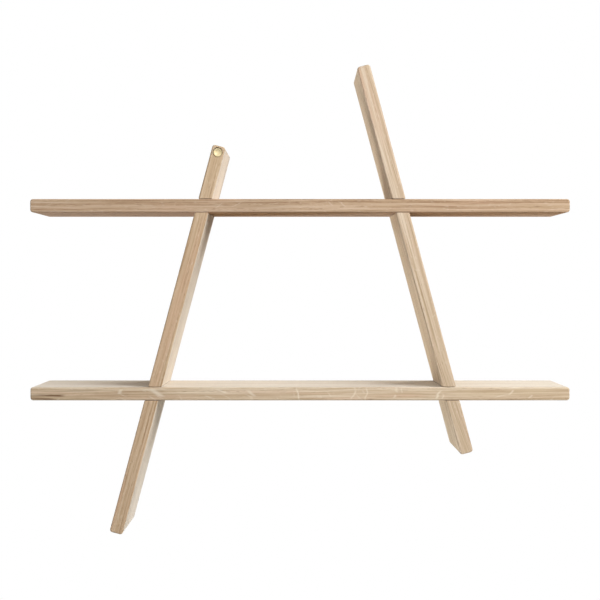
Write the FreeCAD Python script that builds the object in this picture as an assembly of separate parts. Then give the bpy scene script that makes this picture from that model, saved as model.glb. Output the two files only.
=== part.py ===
import FreeCAD, Part
import os

from FreeCAD import Placement, Rotation, Vector

# Driving dimensions in millimetres, angles in degrees.
# Frame: X along the shelves, Y towards the wall, Z up. The origin is the middle of the upper
# shelf's back edge, on the wall plane, and the front of every board is at y = -board_depth.

# boards
shelf_length = 780.0
shelf_thickness = 19.2
post_length = 580.0
post_thickness = 19.2
board_depth = 180.0
corner_round = 4.0         # ends of the boards, seen from the front
edge_round = 2.1           # long edges, front and back
corner_limit_share = 0.45  # largest corner, of the board's thickness
edge_limit_share = 0.8     # largest edge rounding, of the corner

# layout
shelf_pitch = 272.0        # upper shelf to lower shelf
lean_angle = 15.0          # each post from upright, towards the middle
post_spread_share = 0.459  # post from the middle of the pair at half height, of half the shelf's length
pair_offset = 2.9          # middle of the pair, to the right of the shelves' middle
post_slip = 60.0           # left post slid down and right post slid up, along their own length

# cross-halving joints
joint_clearance = 0.15     # between a board and each wall of the notch it sits in
notch_ease = 1.5           # rounded lip of a post's notch

# capped screw bore in the left post
mouth_wall = 2.4           # wood left on each side of the mouth
mouth_top_wall = 2.1       # wood left between the mouth and the post's end
cap_gap = 0.5              # shadow gap round the cap's head
cap_recess = 4.0           # cap's rim below the post's front
cap_head = 3.0
cap_chamfer = 0.6
cap_rim = 1.5              # flat ring between the chamfer and the dished middle
cap_dish = 0.7
cap_seat = 1.7             # shoulder under the cap's head
stem_length = 9.0
stem_clearance = 0.1
stem_chamfer = 0.8
fixing_wood = 50.0         # wood that the wall screw clamps
fixing_radius = 2.75

# keyhole hanger let into the right post's back edge
plate_margin = 0.95        # flat wood left beside the plate
plate_thickness = 2.0
plate_land = 14.0          # plate beyond each end of the keyhole
plate_clearance = 0.1
entry_rim = 1.55           # metal left beside the entry hole
neck_radius = 2.75
slot_travel = 12.0         # entry hole to seat
pocket_clearance = 0.6     # round the wall screw's head, behind the plate
pocket_depth = 9.0

# countersunk screws of the hanger
screw_head_radius = 3.0
screw_radius = 1.5
screw_length = 18.0
screw_tip = 3.0
screw_end_gap = 6.5        # screw's centre from the plate's end
screw_clearance = 0.08

cut_overrun = 5.0          # cutters run past the faces they open
plane_tolerance = 0.001

# places that follow from the sizes above
shelf_levels = {"upper_shelf": 0, "lower_shelf": -shelf_pitch}
left, right = -1, 1
half_depth = board_depth / 2
post_spread = post_spread_share * shelf_length / 2
mouth_radius = post_thickness / 2 - mouth_wall
mouth_depth = cap_recess + cap_head
cap_radius = mouth_radius - cap_gap
access_radius = cap_radius - cap_seat
cap_height = post_length / 2 - mouth_top_wall - mouth_radius
seat_height = cap_height - 2 * post_slip       # level with the capped bore on the wall
entry_height = seat_height - slot_travel
plate_height = (seat_height + entry_height) / 2
corner_radius = min(corner_round, corner_limit_share * min(shelf_thickness, post_thickness))
edge_radius = min(edge_round, edge_limit_share * corner_radius)
plate_width = post_thickness - 2 * (edge_radius + plate_margin)
entry_radius = plate_width / 2 - entry_rim
plate_length = slot_travel + 2 * (entry_radius + plate_land)
plate_ends = [plate_height + side * (plate_length - plate_width) / 2 for side in (left, right)]
screw_heights = [plate_height + side * (plate_length / 2 - screw_end_gap) for side in (left, right)]


def board(width, height):
    """A board seen from the front: rounded outline, extruded to full depth, front and back edges eased."""
    blank = Part.makeBox(width, board_depth, height, Vector(-width / 2, -board_depth, -height / 2))
    ends = [edge for edge in blank.Edges if edge.BoundBox.YLength > plane_tolerance]
    blank = blank.makeFillet(corner_radius, ends)
    rims = [edge for edge in blank.Edges if edge.BoundBox.YLength < plane_tolerance]
    return blank.makeFillet(edge_radius, rims)


def turned(points):
    """Solid turned about Y from a closed outline of (radius, y) corners."""
    corners = [Vector(radius, y, 0) for radius, y in points]
    face = Part.Face(Part.makePolygon(corners + corners[:1]))
    return face.revolve(Vector(), Vector(0, 1, 0))


def bore(radius, start, end, height):
    """Round cutter along Y on the post's centreline."""
    return Part.makeCylinder(radius, end - start, Vector(0, start, height), Vector(0, 1, 0))


def slot(radius, low, high, start, end):
    """Round-ended cutter or plate, upright on the post's centreline, from start to end along Y."""
    middle = Part.makeBox(2 * radius, end - start, high - low, Vector(-radius, start, low))
    return middle.fuse([bore(radius, start, end, low), bore(radius, start, end, high)]).removeSplitter()


def post_place(side):
    """Placement of a post's own frame, whose Z runs along the post from its middle."""
    turn = Rotation(Vector(0, 1, 0), -side * lean_angle)
    crossing = Vector(pair_offset + side * post_spread, 0, -shelf_pitch / 2)
    return Placement(crossing + turn.multVec(Vector(0, 0, side * post_slip)), turn)


def placed(shape, place):
    """Copy of a shape, moved as a whole by a placement."""
    moved = shape.copy()
    moved.Placement = place.multiply(shape.Placement)
    return moved


def raised(shape, height):
    return placed(shape, Placement(Vector(0, 0, height), Rotation()))


def shelf_notch(level):
    """Cutter for the front half of a post, level with the shelf that sits in it."""
    height = shelf_thickness + 2 * joint_clearance
    corner = Vector(-shelf_length / 2, -board_depth - cut_overrun, level - height / 2)
    return Part.makeBox(shelf_length, board_depth + cut_overrun - half_depth, height, corner)


def post_notch(side):
    """Cutter for the back half of a shelf, slanted like the post that sits in it."""
    width = post_thickness + 2 * joint_clearance
    corner = Vector(-width / 2, -half_depth, -post_length / 2)
    return placed(Part.makeBox(width, half_depth + cut_overrun, post_length, corner), post_place(side))


def is_lip(edge):
    """Whether an edge of a post borders a notch's level wall, other than at the notch's bottom."""
    box = edge.BoundBox
    wall = shelf_thickness / 2 + joint_clearance
    is_level = box.ZLength < plane_tolerance
    on_wall = any(abs(abs(box.ZMin - level) - wall) < plane_tolerance for level in shelf_levels.values())
    at_bottom = abs(box.YMin + half_depth) < plane_tolerance and box.YLength < plane_tolerance
    return is_level and on_wall and not at_bottom


def shelf(level):
    """A shelf, notched from the back where the posts cross it."""
    blank = raised(board(shelf_length, shelf_thickness), level)
    return blank.cut([post_notch(side) for side in (left, right)])


def post(side, cuts):
    """A leaning post: its own cuts are made in its own frame, its notches where the shelves cross it."""
    blank = placed(board(post_thickness, post_length).cut(cuts), post_place(side))
    notched = blank.cut([shelf_notch(level) for level in shelf_levels.values()])
    return notched.makeFillet(notch_ease, [edge for edge in notched.Edges if is_lip(edge)])


def left_post():
    """The lower post, bored from the front for its wall screw and the cap that hides it."""
    front = -board_depth
    stepped_bore = [
        bore(mouth_radius, front - cut_overrun, front + mouth_depth, cap_height),
        bore(access_radius, front, -fixing_wood, cap_height),
        bore(fixing_radius, front, cut_overrun, cap_height),
    ]
    return post(left, stepped_bore)


def right_post():
    """The taller post, mortised at the back for the hanger, with room behind it for a screw's head."""
    mortise = slot(plate_width / 2 + plate_clearance, *plate_ends, -plate_thickness, cut_overrun)
    pocket = slot(entry_radius + pocket_clearance, entry_height, seat_height,
                  -plate_thickness - pocket_depth, cut_overrun)
    pilots = [bore(screw_radius + screw_clearance, -screw_length - screw_clearance, cut_overrun, height)
              for height in screw_heights]
    return post(right, [mortise, pocket] + pilots)


def brass_cap():
    """Turned cap: dished face inside a flat rim, head on the shoulder, stem in the access bore."""
    face = -board_depth + cap_recess
    back = face + cap_head
    tail = back + stem_length
    stem = access_radius - stem_clearance
    blank = turned([(0, face), (cap_radius - cap_chamfer, face), (cap_radius, face + cap_chamfer),
                    (cap_radius, back), (stem, back), (stem, tail - stem_chamfer),
                    (stem - stem_chamfer, tail), (0, tail)])
    dish_edge = cap_radius - cap_chamfer - cap_rim
    dish_radius = (dish_edge ** 2 + cap_dish ** 2) / (2 * cap_dish)
    dish = Part.makeSphere(dish_radius, Vector(0, face + cap_dish - dish_radius, 0))
    return placed(raised(blank.cut(dish), cap_height), post_place(left))


def screw(clearance):
    """Countersunk screw, head flush with the plate, or its hole when given a clearance."""
    head = screw_head_radius + clearance
    shank = screw_radius + clearance
    return turned([(0, 0), (head, 0), (shank, shank - head), (shank, screw_tip - screw_length),
                   (0, -screw_length)])


def keyhole_hanger():
    plate = slot(plate_width / 2, *plate_ends, -plate_thickness, 0)
    keyhole = [bore(entry_radius, -board_depth, cut_overrun, entry_height),
               slot(neck_radius, entry_height, seat_height, -board_depth, cut_overrun)]
    sinks = [raised(screw(screw_clearance), height) for height in screw_heights]
    return placed(plate.cut(keyhole + sinks), post_place(right))


def hanger_screws():
    pair = Part.makeCompound([raised(screw(0), height) for height in screw_heights])
    return placed(pair, post_place(right))


pieces = {name: shelf(level) for name, level in shelf_levels.items()}
pieces["left_post"] = left_post()
pieces["right_post"] = right_post()
pieces["brass_cap"] = brass_cap()
pieces["keyhole_hanger"] = keyhole_hanger()
pieces["hanger_screws"] = hanger_screws()

os.makedirs("parts", exist_ok=True)
for name, piece in pieces.items():
    piece.exportStep(f"parts/{name}.step")
    print(f"{name}: {len(piece.Solids)} solid(s), {piece.Volume:.0f} mm3, valid {piece.isValid()}")

overall = Part.makeCompound(list(pieces.values())).BoundBox
print(f"overall {overall.XLength:.1f} x {overall.YLength:.1f} x {overall.ZLength:.1f} mm")
print("fixing bore at", post_place(left).multVec(Vector(0, 0, cap_height)), "radius", fixing_radius)
print("keyhole entry at", post_place(right).multVec(Vector(0, 0, entry_height)), "radius", entry_radius)
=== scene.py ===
import math

import bpy
from mathutils import Euler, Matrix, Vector


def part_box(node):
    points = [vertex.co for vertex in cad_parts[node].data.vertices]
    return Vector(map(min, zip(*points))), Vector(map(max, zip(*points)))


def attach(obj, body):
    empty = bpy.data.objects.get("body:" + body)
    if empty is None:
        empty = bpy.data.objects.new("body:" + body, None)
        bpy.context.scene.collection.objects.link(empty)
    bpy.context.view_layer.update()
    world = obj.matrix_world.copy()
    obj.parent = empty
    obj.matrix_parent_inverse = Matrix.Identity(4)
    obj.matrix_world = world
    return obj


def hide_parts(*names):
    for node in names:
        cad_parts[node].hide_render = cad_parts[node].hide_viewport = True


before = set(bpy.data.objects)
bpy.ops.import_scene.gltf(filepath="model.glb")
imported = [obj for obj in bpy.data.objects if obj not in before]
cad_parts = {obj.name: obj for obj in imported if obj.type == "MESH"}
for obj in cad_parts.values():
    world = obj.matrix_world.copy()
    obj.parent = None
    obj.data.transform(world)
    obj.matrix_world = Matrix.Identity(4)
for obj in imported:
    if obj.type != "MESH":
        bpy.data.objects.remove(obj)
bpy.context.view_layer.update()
print("frame loaded:", ", ".join(sorted(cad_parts)))

noiseSteps = (1.0, 2.3, -1.7)      # a shift of 1 moves a noise this far along X, Y and Z


# a node's sockets take a value or a wire, by name or by number
def feed(tree, node, sockets):
    for name, value in sockets.items():
        if isinstance(value, Wire):
            tree.links.new(value.socket, node.inputs[name])
        else:
            node.inputs[name].default_value = value


# colours are written as three numbers, and a node wants a fourth
def opaque(colour):
    return (*colour, 1) if isinstance(colour, tuple) else colour


def setStops(ramp, stops):
    while len(ramp.elements) < len(stops):
        ramp.elements.new(0.5)
    for element, (place, colour) in zip(ramp.elements, stops):
        element.position = place
        element.color = opaque(colour)


class Wire:
    # one output socket; sums, products and so on of wires add Math nodes
    def __init__(self, tree, socket=None):
        self.tree = tree
        self.socket = socket

    # any node: its settings first, then the values or wires of its sockets
    def node(self, kind, settings=None, sockets=None, out=0):
        made = self.tree.nodes.new(kind)
        for name, value in (settings or {}).items():
            if name == "stops":
                setStops(made.color_ramp, value)
            else:
                setattr(made, name, value)
        feed(self.tree, made, sockets or {})
        return Wire(self.tree, made.outputs[out])

    def calc(self, operation, *terms):
        return self.node("ShaderNodeMath", {"operation": operation}, dict(enumerate(terms)))

    def __add__(self, other):
        return self.calc("ADD", self, other)

    def __sub__(self, other):
        return self.calc("SUBTRACT", self, other)

    def __rsub__(self, other):
        return self.calc("SUBTRACT", other, self)

    def __mul__(self, other):
        return self.calc("MULTIPLY", self, other)

    def __truediv__(self, other):
        return self.calc("DIVIDE", self, other)

    def __rtruediv__(self, other):
        return self.calc("DIVIDE", other, self)

    def __abs__(self):
        return self.calc("ABSOLUTE", self)

    __radd__ = __add__
    __rmul__ = __mul__

    # 0 before start, 1 after end, smooth between; start may be the larger
    def ease(self, start, end):
        return self.node("ShaderNodeMapRange", {"interpolation_type": "SMOOTHSTEP"},
                         {"Value": self, "From Min": start, "From Max": end})

    def split(self):
        parts = self.node("ShaderNodeSeparateXYZ", sockets={0: self})
        return [Wire(self.tree, socket) for socket in parts.socket.node.outputs]

    # noise on this vector, stretched and shifted, centred on 0
    def noise(self, stretch, shift, detail=2.0, roughness=0.55):
        place = self.node("ShaderNodeVectorMath", {"operation": "MULTIPLY_ADD"},
                          {0: self, 1: stretch, 2: [step * shift for step in noiseSteps]})
        return self.node("ShaderNodeTexNoise", sockets={
            "Vector": place, "Scale": 1.0, "Detail": detail, "Roughness": roughness}) - 0.5


# sockets 6 and 7 of a Mix node are its colours, and its third output is the mixed one
def mixed(share, first, second, blend="MIX"):
    return share.node("ShaderNodeMix", {"data_type": "RGBA", "blend_type": blend}, {
        0: share, 6: opaque(first), 7: opaque(second)}, out=2)


def tinted(colour, tint):
    return tuple(part * share for part, share in zip(colour, tint))


def centre(low, high):
    return (Vector(low) + Vector(high)) / 2


def newFinish(name):
    material = bpy.data.materials.new(name)
    material.use_nodes = True
    return material, Wire(material.node_tree), material.node_tree.nodes["Principled BSDF"]


def bumped(start, height, strength, distance):
    return start.node("ShaderNodeBump", sockets={
        "Height": height, "Strength": strength, "Distance": distance})


def dress(node, material):
    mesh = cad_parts[node].data
    mesh.materials.clear()
    mesh.materials.append(material)


# oak: growth rings about a pith, pores, rays and slow bands of tone; lengths are in metres
oakLooks = {
    "colours": {
        "pale": (0.70, 0.555, 0.40),
        "honey": (0.60, 0.445, 0.297),
        "tan": (0.50, 0.35, 0.218),
        "brown": (0.37, 0.24, 0.138),
        "heart": (0.17, 0.09, 0.043),
        "pore": (0.33, 0.21, 0.12),
        "ray": (0.80, 0.68, 0.53),
    },
    "stops": {"pale": 0.0, "honey": 0.38, "tan": 0.72, "brown": 1.0},
    "blotch": 0.45,                # strength of the blotches below
    # rosy and olive blotches: tint of the honey tone, and the range of the blush noise they show in
    "blotches": [((1.07, 0.96, 0.97), (0.0, 0.2)), ((0.97, 0.985, 0.93), (-0.02, -0.2))],
    "gloss": 0.0,                  # a matt oil, with no mirror gloss
    "sheenRoughness": 0.5,
    "seam": 0.0012,                # dark line where a post meets a shelf
    "seamTone": 0.7,
    "endGrain": 0.4,               # how much more oil the end grain drinks
    "faceRange": (0.6, 0.95),      # how squarely a face looks one way before it counts
    # sway and ripple of the rings, how uneven their widths are, and the early wood's part of each
    "rings": {"swayDeep": 0.022, "swayThick": 0.026, "ripple": 0.0016, "pace": 0.23, "uneven": 1.6,
              "earlyRise": (0.0, 0.08), "earlyFall": (0.5, 0.12)},
    "pores": {"range": (0.07, 0.2), "late": 0.25, "tone": 0.6},      # late is how far they show in late wood
    # rays and stains wander with the ripple and the fibre; their edge is in shares of half the depth
    "rays": {"spoke": 0.15, "slant": 2.5, "range": (0.17, 0.3), "edge": (-0.94, -0.975),
             "ripple": 0.012, "fibre": 0.004, "side": (1.0, 0.1), "tip": (1.0, 0.45)},
    "stains": {"ripple": 0.008, "fibre": 0.003, "side": (1.0, 0.1), "edge": (-0.3, -0.85),
               "faint": 0.35, "full": 0.6, "fade": 0.25, "body": 0.95, "streak": 1.2},
    # weights of the figure in the shade, in the roughness and in the relief
    "tone": {"base": 0.40, "band": 0.8, "streak": 1.45, "fibre": 0.6, "early": 0.2, "earlyStreak": 4,
             "ring": 0.34, "level": 0.03},
    "roughness": {"base": 0.58, "pore": 0.15, "streak": 0.1, "ray": 0.1},
    "relief": {"streak": 0.3, "fibre": 0.2, "early": 0.25, "strength": 0.3, "distance": 0.0003},
}
# noises of the figure: lumps to a metre along, deep and thick, shift, then detail and roughness
oakNoises = {
    "ripple": ((14, 60, 60), 5),
    "swayDeep": ((2.2, 6, 6), 0),
    "swayThick": ((2.6, 6, 6), 31),
    "streak": ((7, 430, 430), 2, 3.0, 0.62),
    "fibre": ((18, 900, 900), 17),
    "band": ((2.4, 60, 60), 9),
    "blush": ((5, 75, 75), 14),
    "pore": ((95, 1900, 1900), 21, 1.0),
    "slant": ((3, 12, 12), 40),
    "fleck": ((700, 150, 42), 50, 0.0),      # on the rays' own sheet: round, along, outwards
}
# turn brings the grain onto X, pith and drift are across the board (deep, thick)
# tint is the whole board's; faces are painted light and shade, one tint for its low and one for its high wide
# face
# ends is how much paler it gets towards its low and its high end, contrast is of the figure
# a ray is (along, thick, lean, half width, half height, strength) on the front edge
# a stain is (start, end, thick at its start, slope, half width, strength), seen near the front
oakBoards = {
    "upper_shelf": {
        "turn": 0, "pith": (0.0, -0.11), "drift": (0.012, 0.014), "ring": 0.0042, "seed": 3.1,
        "tint": (0.905, 0.875, 0.885), "faces": [(1.05, 0.92, 0.79), (1.0, 1.0, 0.98)],
        "ends": (0.03, 0.0), "contrast": 1.2, "flecks": 0.25, "sheen": 0.2,
        "rays": [(-0.115, 0.0, 1.4, 0.002, 0.005, 0.35), (-0.09, 0.0015, 2.0, 0.0024, 0.004, 0.35),
                 (-0.036, 0.003, 3.0, 0.003, 0.002, 0.3), (0.0434, 0.003, -1.0, 0.002, 0.004, 0.35),
                 (0.0608, 0.002, -0.8, 0.002, 0.005, 0.4)],
        "stains": [(-0.165, 0.01, 0.0, 0.0, 0.02, 0.14)]},
    "lower_shelf": {
        "turn": 0, "pith": (-0.075, -0.16), "drift": (-0.008, 0.006), "ring": 0.0044, "seed": 7.4,
        "tint": (1.05, 1.105, 1.16), "faces": [(0.92, 0.95, 0.96), (0.91, 0.97, 1.01)],
        "ends": (-0.09, 0.10), "contrast": 1.4, "flecks": 0.3, "sheen": 0.4,
        "rays": [(-0.2617, 0.003, 0.5, 0.0042, 0.0045, 0.5), (-0.207, 0.0014, -1.3, 0.0075, 0.0075, 0.55),
                 (-0.217, 0.005, -2.5, 0.007, 0.003, 0.25), (-0.113, 0.0036, -2.2, 0.0045, 0.004, 0.5),
                 (-0.132, -0.005, -2.5, 0.004, 0.003, 0.35), (-0.0702, 0.0007, -0.8, 0.0052, 0.0055, 0.5),
                 (-0.0028, 0.0, -0.27, 0.0016, 0.011, 0.6), (0.076, -0.001, 0.6, 0.0022, 0.008, 0.45),
                 (0.0944, 0.0, 0.15, 0.0017, 0.011, 0.45), (0.14, 0.0057, 0.1, 0.0033, 0.0045, 0.4),
                 (0.147, 0.005, 0.0, 0.0016, 0.0045, 0.35), (0.136, -0.0036, 0.5, 0.0026, 0.003, 0.4),
                 (0.2005, -0.0015, 0.8, 0.003, 0.0075, 0.55), (0.207, -0.004, 0.8, 0.0022, 0.004, 0.35),
                 (0.306, 0.002, 0.8, 0.0026, 0.0045, 0.45), (0.292, -0.003, 4.0, 0.0042, 0.003, 0.35),
                 (0.333, -0.004, 1.0, 0.003, 0.003, 0.4)],
        "stains": [(-0.392, -0.336, -0.0034, 0.05, 0.0026, 1.0), (-0.41, -0.345, -0.0074, 0.0, 0.0016, 0.7),
                   (-0.37, -0.28, 0.0048, 0.0, 0.0024, 0.35)]},
    "left_post": {
        "turn": -75, "pith": (0.0, 0.11), "drift": (0.010, -0.02), "ring": 0.0036, "seed": 12.7,
        "tint": (0.95, 0.922, 0.89), "faces": [(1.11, 1.28, 1.45), (0.96, 1.0, 1.0)],
        "ends": (-0.06, -0.05), "contrast": 0.95, "flecks": 0.3, "sheen": 0.42, "rays": [], "stains": []},
    "right_post": {
        "turn": -105, "pith": (-0.05, -0.12), "drift": (0.015, 0.05), "ring": 0.0038, "seed": 17.3,
        "tint": (1.02, 1.06, 1.13), "faces": [(0.84, 0.83, 0.8), (1.2, 1.24, 1.22)],
        "ends": (-0.04, -0.04), "contrast": 1.3, "flecks": 0.2, "sheen": 0.2, "rays": [], "stains": []},
}


def oakFinish(node, cut):
    material, start, shader = newFinish("oak_" + node)
    low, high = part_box(node)
    half = (high[1] - low[1]) / 2
    turn = Euler((0, math.radians(cut["turn"]), 0))
    shades = {name: tinted(shade, cut["tint"]) for name, shade in oakLooks["colours"].items()}
    rings, poreLooks, rayLooks, stainLooks, tone, rough, relief = [
        oakLooks[name] for name in ("rings", "pores", "rays", "stains", "tone", "roughness", "relief")]

    # the board's own frame: X along the grain, Y deep, Z thick
    place = start.node("ShaderNodeTexCoord", out="Object")
    board = start.node("ShaderNodeMapping", {"vector_type": "TEXTURE"}, {
        "Vector": place, "Location": centre(low, high), "Rotation": turn})
    along, deep, thick = board.split()

    def figure(name, vector=board):
        stretch, shift, *more = oakNoises[name]
        return vector.noise(stretch, cut["seed"] + shift, *more)

    # 0 inside the board, 1 at its front; shares of half its depth
    def nearFront(shares):
        return deep.ease(*[share * half for share in shares])

    # growth rings, swaying slowly along the trunk
    ripple = figure("ripple")
    fromDeep = deep - cut["pith"][0] - along * cut["drift"][0] + figure("swayDeep") * rings["swayDeep"]
    fromThick = thick - cut["pith"][1] - along * cut["drift"][1] + figure("swayThick") * rings["swayThick"]
    radius = start.calc("SQRT", fromDeep * fromDeep + fromThick * fromThick)
    growth = (radius + ripple * rings["ripple"]) / cut["ring"]
    growth = growth + start.node("ShaderNodeTexNoise", {"noise_dimensions": "1D"}, {
        "W": growth * rings["pace"] + cut["seed"], "Detail": 1.0}) * rings["uneven"]
    ring = start.calc("FLOOR", growth)
    phase = growth - ring
    ringTone = start.node("ShaderNodeTexWhiteNoise", {"noise_dimensions": "1D"}, {"W": ring}) - 0.5
    early = phase.ease(*rings["earlyRise"]) * phase.ease(*rings["earlyFall"])

    # streaks, bands and pores run with the grain
    streak, fibre, band, blush = [figure(name) for name in ("streak", "fibre", "band", "blush")]
    pores = figure("pore").ease(*poreLooks["range"]) * (poreLooks["late"] + early)

    # medullary rays: thin sheets out from the pith, which show as pale flecks on a radial face
    spoke = start.calc("ARCTAN2", fromThick, fromDeep) * rayLooks["spoke"]
    slanted = along + radius * figure("slant") * rayLooks["slant"]
    sheet = start.node("ShaderNodeCombineXYZ", sockets={0: spoke, 1: slanted, 2: radius})
    flecks = figure("fleck", sheet).ease(*rayLooks["range"]) * cut["flecks"]
    frontEdge = nearFront(rayLooks["edge"])
    for at, height, lean, halfWidth, halfHeight, strength in cut["rays"]:
        rise = thick - height
        off = along - at - rise * lean + ripple * rayLooks["ripple"] + fibre * rayLooks["fibre"]
        mark = (abs(off) / halfWidth).ease(*rayLooks["side"])
        mark = mark * (abs(rise) / halfHeight).ease(*rayLooks["tip"])
        flecks = start.calc("MAXIMUM", flecks, mark * frontEdge * strength)

    # the higher the shade, the darker the oak
    length = high[0] - low[0]
    if cut["turn"]:
        length = (high[2] - low[2]) / math.sin(math.radians(-cut["turn"]))
    lowEnd, highEnd = cut["ends"]
    endTone = along.ease(0.0, -length / 2) * -lowEnd + along.ease(0.0, length / 2) * -highEnd
    earlyTone = early * tone["early"] * (1 + streak * tone["earlyStreak"])
    grain = band * tone["band"] + streak * tone["streak"] + fibre * tone["fibre"] + earlyTone
    shade = tone["base"] + endTone + (grain + ringTone * tone["ring"] - tone["level"]) * cut["contrast"]
    stops = [(stop, shades[name]) for name, stop in oakLooks["stops"].items()]
    colour = start.node("ShaderNodeValToRGB", {"stops": stops}, {0: shade})
    for tint, span in oakLooks["blotches"]:
        colour = mixed(blush.ease(*span) * oakLooks["blotch"], colour, tinted(shades["honey"], tint))

    # a stain starts faint, is full further on and fades out before its end
    for begin, end, height, slope, halfWidth, strength in cut["stains"]:
        run = end - begin
        off = thick - height - (along - begin) * slope
        off = off + ripple * stainLooks["ripple"] + fibre * stainLooks["fibre"]
        swell = along.ease(begin, begin + run * stainLooks["full"]) * (1 - stainLooks["faint"])
        stain = (abs(off) / halfWidth).ease(*stainLooks["side"]) * (stainLooks["faint"] + swell)
        stain = stain * along.ease(end, end - run * stainLooks["fade"]) * nearFront(stainLooks["edge"])
        stain = stain * (stainLooks["body"] + streak * stainLooks["streak"]) * strength
        colour = mixed(stain, colour, shades["heart"])
    colour = mixed(pores * poreLooks["tone"], colour, shades["pore"])
    colour = mixed(flecks, colour, shades["ray"])

    # a fine dark line where a post meets a shelf
    if cut["turn"]:
        up = place.split()[2]
        for shelf in ("upper_shelf", "lower_shelf"):
            bottom, top = (corner[2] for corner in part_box(shelf))
            gap = abs(abs(up - (bottom + top) / 2) - (top - bottom) / 2)
            colour = mixed(gap.ease(oakLooks["seam"], 0.0) * oakLooks["seamTone"], colour, shades["heart"])

    # painted light and shade: each wide face gets its own tint, paler where it faces the light and darker or
    # warmer where it is shaded; end grain drinks more oil
    normal = start.node("ShaderNodeNewGeometry", out="Normal")
    paintedLightFacing, endwise = [start.node("ShaderNodeVectorMath", {"operation": "DOT_PRODUCT"}, {
        0: normal, 1: turn.to_matrix() @ Vector(way)}, out="Value") for way in ((0, 0, 1), (1, 0, 0))]
    least, square = oakLooks["faceRange"]
    # the painted light and shade on the low and the high wide face
    for side, tint in zip((-1, 1), cut["faces"]):
        colour = mixed(paintedLightFacing.ease(least * side, square * side), colour, tint, "MULTIPLY")
    colour = mixed(abs(endwise).ease(least, square) * oakLooks["endGrain"], colour, shades["tan"])

    height = streak * relief["streak"] + fibre * relief["fibre"] - pores - early * relief["early"]
    feed(material.node_tree, shader, {
        "Base Color": colour,
        "Normal": bumped(start, height, relief["strength"], relief["distance"]),
        "Roughness": rough["base"] + pores * rough["pore"] + streak * rough["streak"] - flecks * rough["ray"],
        "Specular IOR Level": oakLooks["gloss"],
        "Sheen Weight": cut["sheen"], "Sheen Roughness": oakLooks["sheenRoughness"]})
    return material


for node, cut in oakBoards.items():
    dress(node, oakFinish(node, cut))
print("oak boards dressed:", len(oakBoards))


# brass: turned rings about the cap's own axis, slightly dulled in clouds
brassLooks = {
    "bright": (0.50, 0.42, 0.255),
    "dull": (0.40, 0.335, 0.185),
    "dullShare": 0.5,
    "clouds": ((420, 420, 420), 1.3, 3.0),      # lumps to a metre, shift, detail
    "cloudRange": (-0.1, 0.25),
    "ringPitch": 0.00028,
    "ringBump": 0.2,
    "ringDepth": 0.00002,
    "roughness": {"base": 0.44, "dull": 0.12, "ring": 0.03},
}


def brassFinish(node):
    material, start, shader = newFinish("turned_brass")
    place = start.node("ShaderNodeMapping", {"vector_type": "TEXTURE"}, {
        "Vector": start.node("ShaderNodeTexCoord", out="Object"), "Location": centre(*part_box(node))})
    across, _, up = place.split()
    radius = start.calc("SQRT", across * across + up * up)
    rings = start.calc("SINE", radius * (2 * math.pi / brassLooks["ringPitch"]))
    dull = place.noise(*brassLooks["clouds"]).ease(*brassLooks["cloudRange"])
    rough = brassLooks["roughness"]
    feed(material.node_tree, shader, {
        "Base Color": mixed(dull * brassLooks["dullShare"], brassLooks["bright"], brassLooks["dull"]),
        "Metallic": 1.0, "Roughness": rough["base"] + dull * rough["dull"] + rings * rough["ring"],
        "Normal": bumped(start, rings, brassLooks["ringBump"], brassLooks["ringDepth"])})
    return material


dress("brass_cap", brassFinish("brass_cap"))


# bright zinc on the hanger and its screws: spangles, a mottle and brush lines
zincLooks = {
    "light": (0.60, 0.61, 0.62),
    "dark": (0.40, 0.41, 0.43),
    "darkShare": 0.35,
    "spangles": 620.0,                            # to a metre
    "spangleTone": 0.35,
    "mottle": ((160, 160, 160), 8.0, 3.0),        # lumps to a metre, shift, detail
    "mottleTone": 0.8,
    "brushed": ((240, 240, 2600), 4.0, 2.0),
    "brushBump": 0.15,
    "brushDepth": 0.00005,
    "roughness": {"base": 0.34, "spangle": 0.1, "brushed": 0.15},
}


def zincFinish():
    material, start, shader = newFinish("bright_zinc")
    place = start.node("ShaderNodeTexCoord", out="Object")
    spangle = start.node("ShaderNodeTexVoronoi", sockets={
        "Vector": place, "Scale": zincLooks["spangles"]}, out="Color").split()[0]
    brushed = place.noise(*zincLooks["brushed"])
    mottle = place.noise(*zincLooks["mottle"])
    dark = zincLooks["darkShare"] + (spangle - 0.5) * zincLooks["spangleTone"]
    dark = dark + mottle * zincLooks["mottleTone"]
    rough = zincLooks["roughness"]
    feed(material.node_tree, shader, {
        "Base Color": mixed(dark, zincLooks["light"], zincLooks["dark"]),
        "Metallic": 1.0, "Roughness": rough["base"] + spangle * rough["spangle"] + brushed * rough["brushed"],
        "Normal": bumped(start, brushed, zincLooks["brushBump"], zincLooks["brushDepth"])})
    return material


zinc = zincFinish()
dress("keyhole_hanger", zinc)
print("metal dressed")


# countersunk cross-head screws of the hanger, head flush with its face
screwLooks = {
    "Head radius": 0.003, "Head depth": 0.0015, "Shank radius": 0.0015, "Length": 0.018, "Tip length": 0.003,
    "Thread pitch": 0.0014, "Thread depth": 0.0004,
    "Cross span": 0.0034, "Cross width": 0.0008, "Cross depth": 0.0011,
}
screwRod = {"sides": 40, "rings": 90, "point": 0.0001}      # point is the tip's own radius
screwTurnSeed = 4


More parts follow.
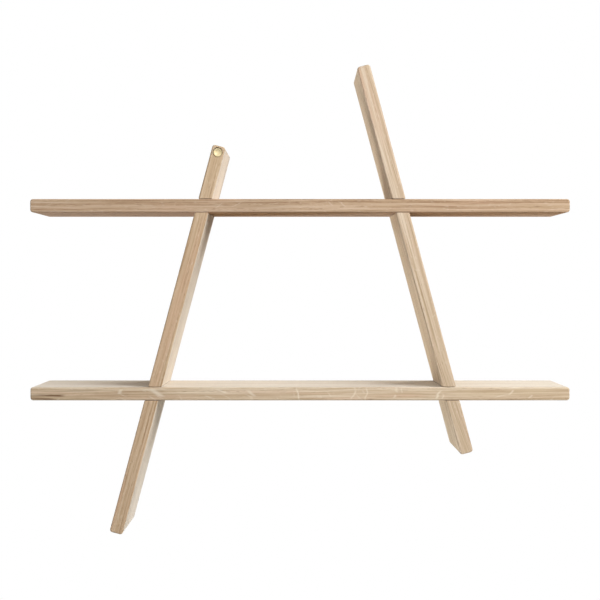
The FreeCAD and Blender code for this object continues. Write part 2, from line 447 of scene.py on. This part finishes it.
def screwTree(finish):
    tree = bpy.data.node_groups.new("crossHeadScrews", "GeometryNodeTree")
    tree.interface.new_socket("Geometry", in_out="OUTPUT", socket_type="NodeSocketGeometry")
    tree.interface.new_socket("Geometry", in_out="INPUT", socket_type="NodeSocketGeometry")
    sockets = {name: tree.interface.new_socket(name, in_out="INPUT", socket_type="NodeSocketFloat").identifier
               for name in screwLooks}
    start = Wire(tree)
    given = tree.nodes.new("NodeGroupInput")
    size = {name: Wire(tree, given.outputs[name]) for name in screwLooks}

    def vector(*parts):
        return start.node("ShaderNodeCombineXYZ", sockets=dict(enumerate(parts)))

    # a plain rod of many rings, then each ring takes its own radius
    rod = start.node("GeometryNodeMeshCylinder", {"fill_type": "NGON"}, {
        "Vertices": screwRod["sides"], "Side Segments": screwRod["rings"],
        "Radius": 1.0, "Depth": size["Length"]}, out="Mesh")
    across, aside, up = start.node("GeometryNodeInputPosition").split()
    depth = size["Length"] * 0.5 - up
    head = size["Head radius"] - depth * (size["Head radius"] - size["Shank radius"]) / size["Head depth"]
    turns = depth / size["Thread pitch"] + start.calc("ARCTAN2", aside, across) / (2 * math.pi)
    ridge = abs(turns - start.calc("FLOOR", turns) - 0.5) * 2
    shank = size["Shank radius"] - size["Thread depth"] * ridge
    tip = (size["Length"] - depth) * size["Shank radius"] / size["Tip length"] + screwRod["point"]
    radius = start.calc("MINIMUM", start.calc("MAXIMUM", head, shank), tip)
    screw = start.node("GeometryNodeSetPosition", sockets={
        "Geometry": rod, "Position": vector(across * radius, aside * radius, up - size["Length"] * 0.5)})

    # the cross in the head
    for wide, tall in (("Cross span", "Cross width"), ("Cross width", "Cross span")):
        bar = start.node("GeometryNodeMeshCube", sockets={
            "Size": vector(size[wide], size[tall], size["Cross depth"] * 2)}, out="Mesh")
        screw = start.node("GeometryNodeMeshBoolean", {"operation": "DIFFERENCE"}, {
            "Mesh 1": screw, "Mesh 2": bar})
    screw = start.node("GeometryNodeTransform", sockets={
        "Geometry": screw, "Rotation": Euler((-math.pi / 2, 0, 0))})

    # one screw on each spot, each turned about its own axis
    spot = start.node("GeometryNodeMeshToPoints", sockets={"Mesh": Wire(tree, given.outputs["Geometry"])})
    turn = start.node("FunctionNodeRandomValue", {"data_type": "FLOAT"}, {
        "Max": math.pi / 2, "Seed": screwTurnSeed}, out=1)
    pair = start.node("GeometryNodeInstanceOnPoints", sockets={
        "Points": spot, "Instance": screw, "Rotation": vector(0.0, turn, 0.0)})
    pair = start.node("GeometryNodeRealizeInstances", sockets={"Geometry": pair})
    pair = start.node("GeometryNodeSetMaterial", sockets={"Geometry": pair, "Material": finish})
    feed(tree, tree.nodes.new("NodeGroupOutput"), {"Geometry": pair})
    return tree, sockets


def addScrews(node, finish):
    low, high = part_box(node)
    inset = screwLooks["Head radius"]
    spots = bpy.data.meshes.new("screwSpots")
    spots.from_pydata([(low[0] + inset, high[1], high[2] - inset),
                       (high[0] - inset, high[1], low[2] + inset)], [], [])
    maker = bpy.data.objects.new("screwSpots", spots)
    bpy.context.scene.collection.objects.link(maker)
    tree, sockets = screwTree(finish)
    modifier = maker.modifiers.new("screws", "NODES")
    modifier.node_group = tree
    for name, identifier in sockets.items():
        modifier[identifier] = screwLooks[name]
    graph = bpy.context.evaluated_depsgraph_get()
    mesh = bpy.data.meshes.new_from_object(maker.evaluated_get(graph))
    maker.modifiers.remove(modifier)
    bpy.data.objects.remove(maker)
    screws = bpy.data.objects.new("cross_head_screws", mesh)
    bpy.context.scene.collection.objects.link(screws)
    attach(screws, "root")
    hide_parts(node)
    print("screws made:", len(mesh.polygons), "faces")


addScrews("hanger_screws", zinc)


# soft lamps all round, the strongest at the front right and the back right
# each lamp is (azimuth, elevation, watts, size): 0 is the front, 90 the right
lampSetup = {
    "aim": (0, -0.09, -0.14),
    "reach": 2.4,
    "lamps": {"key": (45, 24, 61, 1.5), "front": (0, 15, 12.5, 1.5), "frontLeft": (315, 40, 15, 1.5),
              "backRight": (135, 40, 44, 1.5), "backLeft": (225, 20, 10, 1.5), "left": (240, -10, 28, 0.6),
              "lowLeft": (270, -20, 5, 1.5), "lowRight": (90, -40, 14, 1.0)},
}


def addLamp(name, azimuth, elevation, watts, size):
    turn, lift = math.radians(azimuth), math.radians(elevation)
    way = Vector((math.sin(turn) * math.cos(lift), -math.cos(turn) * math.cos(lift), math.sin(lift)))
    light = bpy.data.lights.new(name, "AREA")
    light.size = size
    light.energy = watts
    lamp = bpy.data.objects.new(name, light)
    lamp.location = Vector(lampSetup["aim"]) + way * lampSetup["reach"]
    lamp.rotation_euler = (-way).to_track_quat("-Z", "Y").to_euler()
    lamp.visible_camera = False
    bpy.context.scene.collection.objects.link(lamp)


for name, aim in lampSetup["lamps"].items():
    addLamp(name, *aim)
print("lamps hung:", len(lampSetup["lamps"]))


# white walls, for the camera and for what the metal mirrors; the lamps alone give light
def whiteRoom():
    world = bpy.data.worlds.new("white_room")
    world.use_nodes = True
    start = Wire(world.node_tree)
    shown = start.node("ShaderNodeLightPath", out="Is Camera Ray")
    path = shown.socket.node.outputs
    for ray in ("Is Glossy Ray", "Is Transmission Ray"):
        shown = start.calc("MAXIMUM", shown, Wire(world.node_tree, path[ray]))
    feed(world.node_tree, world.node_tree.nodes["Background"], {"Color": (1, 1, 1, 1), "Strength": shown})
    bpy.context.scene.world = world


whiteRoom()


# pale floor, as far below as a wall shelf hangs
floorSetup = {
    "height": -1.5, "radius": 1.25, "sides": 96,
    "fade": (0.5, 1.2125),                    # from the middle, where it turns into the white room
    "colour": (0.9, 0.9, 0.89),
    "speckTint": (0.97, 0.97, 0.97),
    "specks": ((30, 30, 30), 2.0),            # lumps to a metre, shift
    "roughness": 0.8,
}


def addFloor():
    count, radius = floorSetup["sides"], floorSetup["radius"]
    turns = [2 * math.pi * i / count for i in range(count)]
    rim = [(radius * math.cos(turn), radius * math.sin(turn), floorSetup["height"]) for turn in turns]
    mesh = bpy.data.meshes.new("floor")
    mesh.from_pydata(rim, [], [range(count)])
    floor = bpy.data.objects.new("floor", mesh)
    bpy.context.scene.collection.objects.link(floor)
    material, start, shader = newFinish("pale_floor")
    place = start.node("ShaderNodeTexCoord", out="Object")
    speck = place.noise(*floorSetup["specks"])
    speckColour = tinted(floorSetup["colour"], floorSetup["speckTint"])
    feed(material.node_tree, shader, {
        "Base Color": mixed(0.5 + speck, floorSetup["colour"], speckColour),
        "Roughness": floorSetup["roughness"]})

    # the floor runs out into the white room, for what the camera sees
    across, back, _ = place.split()
    reach = start.calc("SQRT", across * across + back * back)
    seen = start.node("ShaderNodeLightPath", out="Is Camera Ray")
    away = reach.ease(*floorSetup["fade"]) * seen
    white = start.node("ShaderNodeEmission", sockets={"Color": (1, 1, 1, 1), "Strength": 1.0})
    surface = start.node("ShaderNodeMixShader", sockets={
        0: away, 1: Wire(material.node_tree, shader.outputs[0]), 2: white})
    feed(material.node_tree, material.node_tree.nodes["Material Output"], {"Surface": surface})
    mesh.materials.append(material)


addFloor()

# the photograph's viewpoint: level with the middle of the shelf, in front of it
cameraSetup = {"place": (0.0, -2.7603, -0.1114), "tiltDown": 0.554, "lens": 107.13, "sensor": 36}
lens = bpy.data.cameras.new("camera")
lens.lens = cameraSetup["lens"]
lens.sensor_width = cameraSetup["sensor"]
camera = bpy.data.objects.new("camera", lens)
camera.location = cameraSetup["place"]
camera.rotation_euler = (math.radians(90 - cameraSetup["tiltDown"]), 0, 0)
bpy.context.scene.collection.objects.link(camera)
bpy.context.scene.camera = camera
bpy.context.scene.view_settings.view_transform = "Standard"
print("stage set")
